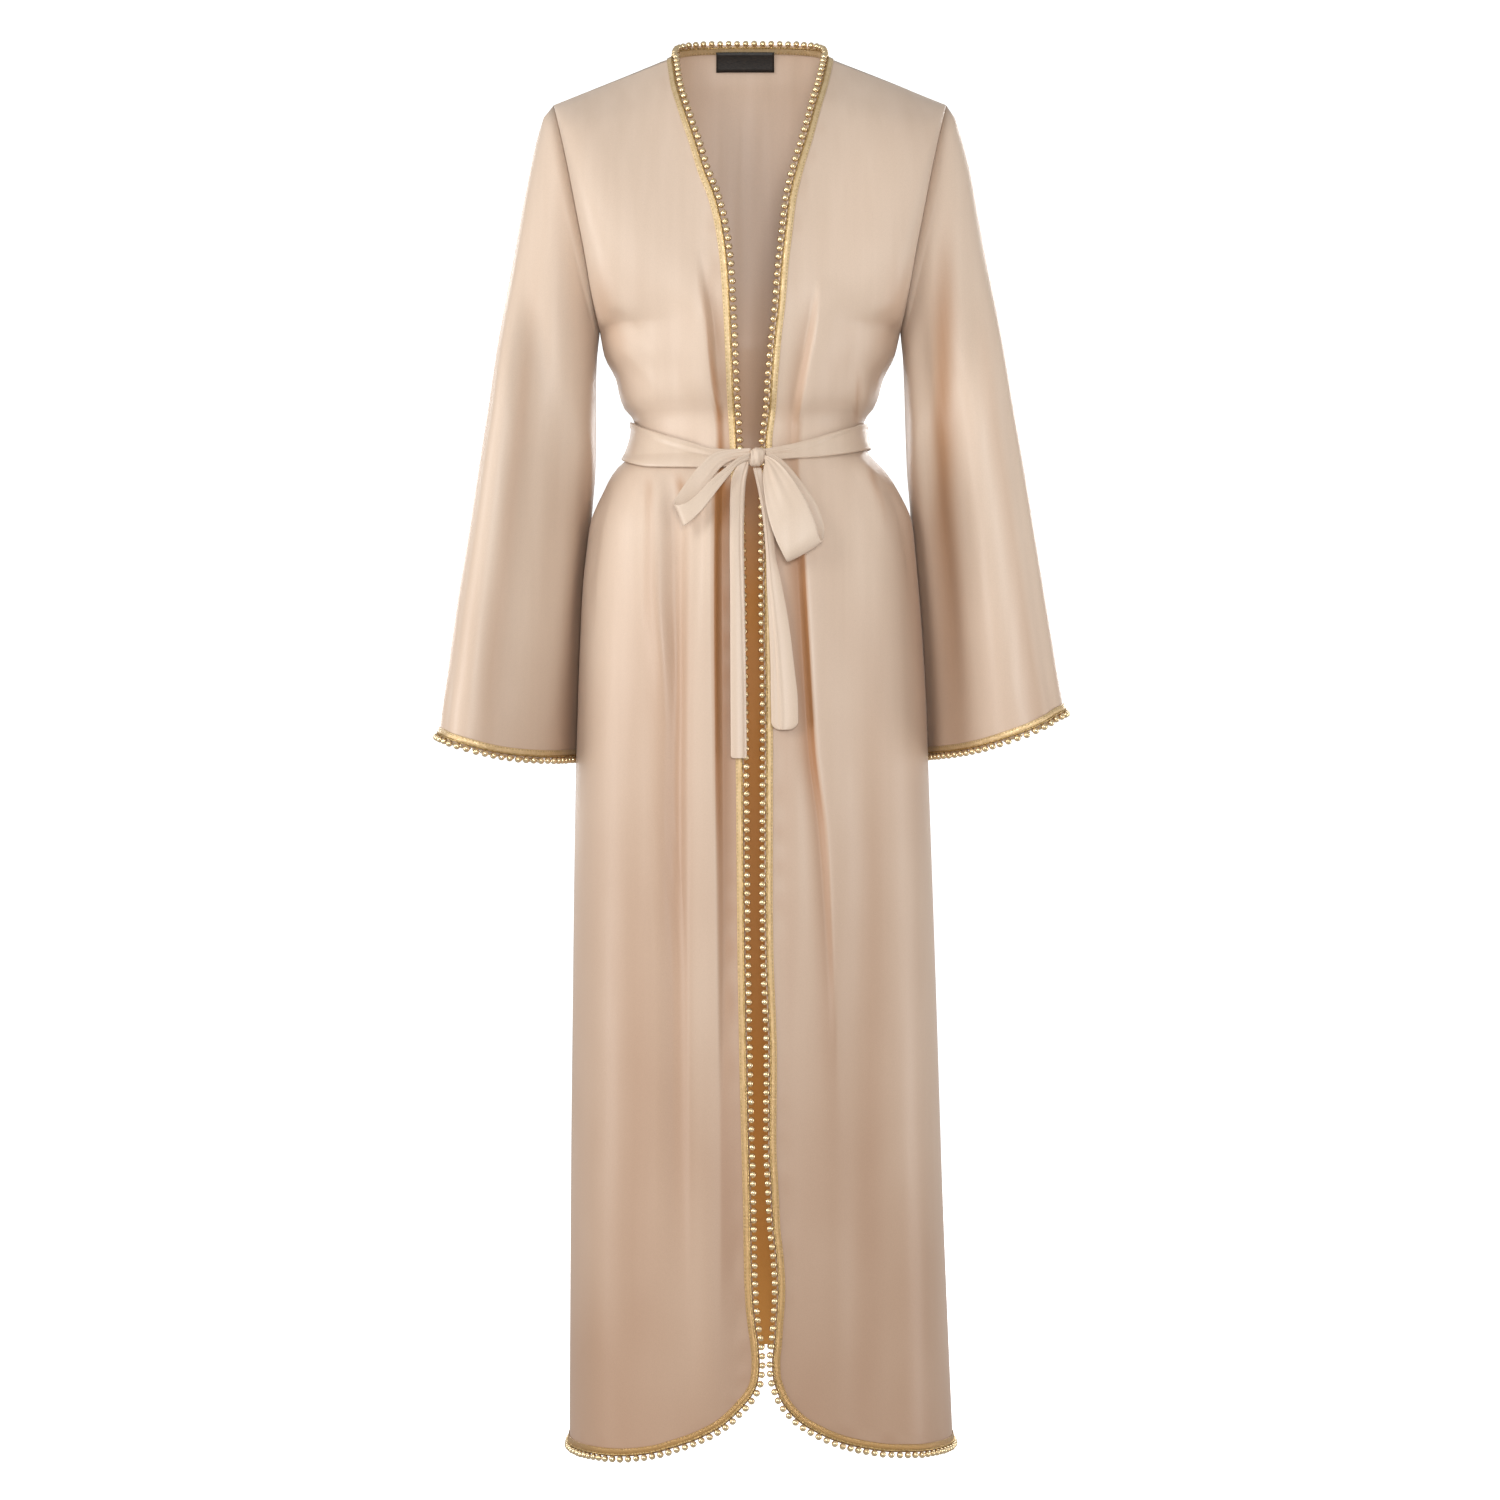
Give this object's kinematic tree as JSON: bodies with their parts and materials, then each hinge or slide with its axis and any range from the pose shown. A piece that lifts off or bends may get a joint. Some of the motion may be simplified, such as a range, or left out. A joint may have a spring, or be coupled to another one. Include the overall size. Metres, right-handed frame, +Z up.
{
  "type": "cardigan dress",
  "caption": "Full-length open-front cardigan dress with flared sleeves, rounded front hem corners, bead-edged gold trim and a tied waist belt, filled out as worn.",
  "frame": {"origin": "midway between the two points where the neck meets the shoulder seams, where the wearer's shoulders hold the dress", "axes": "+X to the viewer's right (the wearer's left), -Y out of the open front, +Z up along the dress"},
  "size_m": [0.6186, 0.301, 1.4069],
  "materials": {
    "satin": "satin",
    "belt": "satin",
    "gold_tape": "satin",
    "label": "matte",
    "beads": "polished"
  },
  "bodies": {
    "root": {"front_left": "satin", "front_right": "satin", "back": "satin", "sleeve_left": "satin", "sleeve_right": "satin", "belt_band": "belt", "belt_knot": "belt", "belt_loop_left": "belt", "belt_loop_right": "belt", "belt_tail_left": "belt", "belt_tail_right": "belt", "tape_front_left": "gold_tape", "tape_front_right": "gold_tape", "tape_neck_outside": "gold_tape", "tape_neck_inside": "gold_tape", "tape_back_hem": "gold_tape", "tape_cuff_left": "gold_tape", "tape_cuff_right": "gold_tape", "neck_label": "label"}
  },
  "joints": []
}
